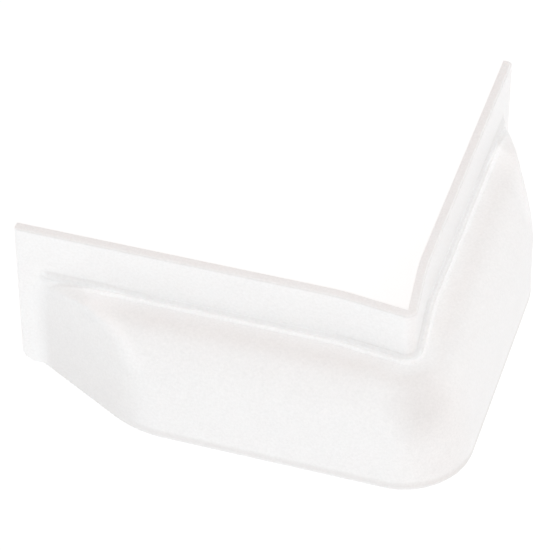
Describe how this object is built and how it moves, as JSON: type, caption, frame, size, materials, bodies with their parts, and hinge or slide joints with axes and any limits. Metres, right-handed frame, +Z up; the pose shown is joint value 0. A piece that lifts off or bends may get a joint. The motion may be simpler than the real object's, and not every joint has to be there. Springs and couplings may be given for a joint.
{
  "type": "dock corner bumper",
  "caption": "L-shaped soft bumper that wraps the outer corner of a dock, with a fixing flange along its top and ends.",
  "frame": {"origin": "centre of the bounding box in plan, at the underside", "axes": "+Z up, from the underside to the top edge of the flange; the left arm runs along -X from the corner and its back faces +Y, the right arm runs along +Y and its back faces -X"},
  "size_m": [0.3054, 0.3054, 0.1136],
  "materials": {
    "corner_bumper": "white closed-cell foam with a matte, finely grained moulded skin"
  },
  "bodies": {
    "root": {"corner_bumper": "corner_bumper"}
  },
  "joints": []
}
